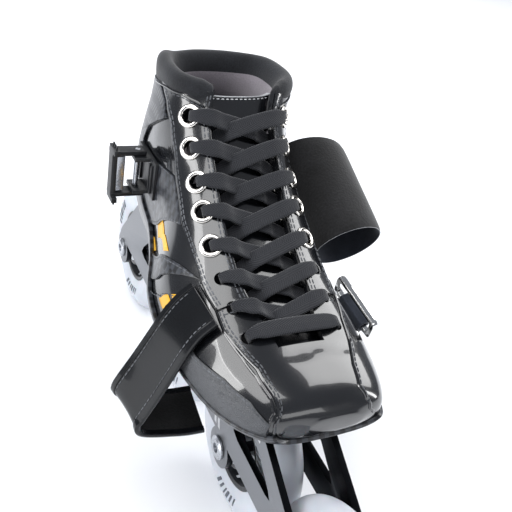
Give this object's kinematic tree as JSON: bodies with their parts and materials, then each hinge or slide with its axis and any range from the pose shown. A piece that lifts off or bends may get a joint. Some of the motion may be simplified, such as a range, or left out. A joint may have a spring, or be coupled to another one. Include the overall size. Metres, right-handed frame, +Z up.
{
  "type": "inline speed skate",
  "caption": "Right-foot inline speed skate: laced low boot with open straps and a side buckle, on a light frame that carries its wheels in one line.",
  "frame": {"origin": "middle of the bounding box in X and Y, on the ground under the wheels", "axes": "+X towards the inner (medial) side of a right foot, -Y towards the toe, +Z up"},
  "size_m": [0.1568, 0.406, 0.2231],
  "materials": {
    "frame": "satin anodised",
    "steel": "satin",
    "tyre": "smooth cast urethane",
    "hub": "moulded",
    "patent": "patent, high gloss",
    "carbon": "woven carbon laminate",
    "grained_leather": "grained",
    "suede_lining": "napped",
    "insole_foam": "matt",
    "nickel": "polished",
    "lace_cord": "flat woven",
    "plastic": "moulded",
    "strap": "laminated webbing"
  },
  "bodies": {
    "skate_body": {"frame": "frame", "front_mount_bolt": "steel", "rear_mount_bolt": "steel", "buckle_pin": "steel", "axle_1": "steel", "axle_2": "steel", "axle_3": "steel", "axle_4": "steel", "spacer_1": "steel", "spacer_2": "steel", "spacer_3": "steel", "spacer_4": "steel", "vamp": "patent", "quarter_lateral": "patent", "quarter_medial": "patent", "eyestay_lateral": "patent", "eyestay_medial": "patent", "tongue": "patent", "heel_counter": "carbon", "sole_shell": "carbon", "carbon_brace_lateral": "carbon", "side_panel_lateral": "grained_leather", "ring_keeper": "grained_leather", "collar_lining": "suede_lining", "insole": "insole_foam", "eyelet_lateral_1": "nickel", "eyelet_lateral_2": "nickel", "eyelet_lateral_3": "nickel", "eyelet_lateral_4": "nickel", "eyelet_lateral_5": "nickel", "eyelet_medial_1": "nickel", "eyelet_medial_2": "nickel", "eyelet_medial_3": "nickel", "eyelet_medial_4": "nickel", "eyelet_medial_5": "nickel", "lace": "lace_cord", "lace_tip_lateral": "plastic", "lace_tip_medial": "plastic", "buckle_base": "plastic"},
    "wheel_1": {"tyre_1": "tyre", "hub_1": "hub", "bearing_1_outer_side": "steel", "bearing_1_inner_side": "steel"},
    "wheel_2": {"tyre_2": "tyre", "hub_2": "hub", "bearing_2_outer_side": "steel", "bearing_2_inner_side": "steel"},
    "wheel_3": {"tyre_3": "tyre", "hub_3": "hub", "bearing_3_outer_side": "steel", "bearing_3_inner_side": "steel"},
    "wheel_4": {"tyre_4": "tyre", "hub_4": "hub", "bearing_4_outer_side": "steel", "bearing_4_inner_side": "steel"},
    "lever": {"buckle_lever": "plastic"},
    "ring": {"strap_ring": "nickel"},
    "ankle_strap": {"ankle_strap": "strap"},
    "forefoot_strap": {"forefoot_strap": "strap"}
  },
  "joints": [
    {"name": "wheel_1_spin", "type": "hinge", "parent": "skate_body", "child": "wheel_1", "pos_m": [-0.00195, -0.153, 0.05], "axis": [1, 0, 0], "continuous": true},
    {"name": "wheel_2_spin", "type": "hinge", "parent": "skate_body", "child": "wheel_2", "pos_m": [-0.00195, -0.051, 0.05], "axis": [1, 0, 0], "continuous": true},
    {"name": "wheel_3_spin", "type": "hinge", "parent": "skate_body", "child": "wheel_3", "pos_m": [-0.00195, 0.051, 0.05], "axis": [1, 0, 0], "continuous": true},
    {"name": "wheel_4_spin", "type": "hinge", "parent": "skate_body", "child": "wheel_4", "pos_m": [-0.00195, 0.153, 0.05], "axis": [1, 0, 0], "continuous": true},
    {"name": "buckle_lever_turn", "type": "hinge", "parent": "skate_body", "child": "lever", "pos_m": [-0.04755, 0.0588, 0.16645], "axis": [0, 0, 1], "range_deg": [-75, 10]},
    {"name": "strap_ring_swing", "type": "hinge", "parent": "skate_body", "child": "ring", "pos_m": [0.04598, -0.04584, 0.13302], "axis": [-0.1736, 0.9428, 0.2844], "range_deg": [0, 95]},
    {"name": "ankle_strap_bend", "type": "hinge", "parent": "skate_body", "child": "ankle_strap", "pos_m": [0.0367, 0.02745, 0.15184], "axis": [-0.05, 0.8713, 0.4882], "range_deg": [0, 25]},
    {"name": "forefoot_strap_bend", "type": "hinge", "parent": "skate_body", "child": "forefoot_strap", "pos_m": [-0.04045, -0.04059, 0.1471], "axis": [-0.1307, 0.9814, 0.1407], "range_deg": [0, 20]}
  ]
}
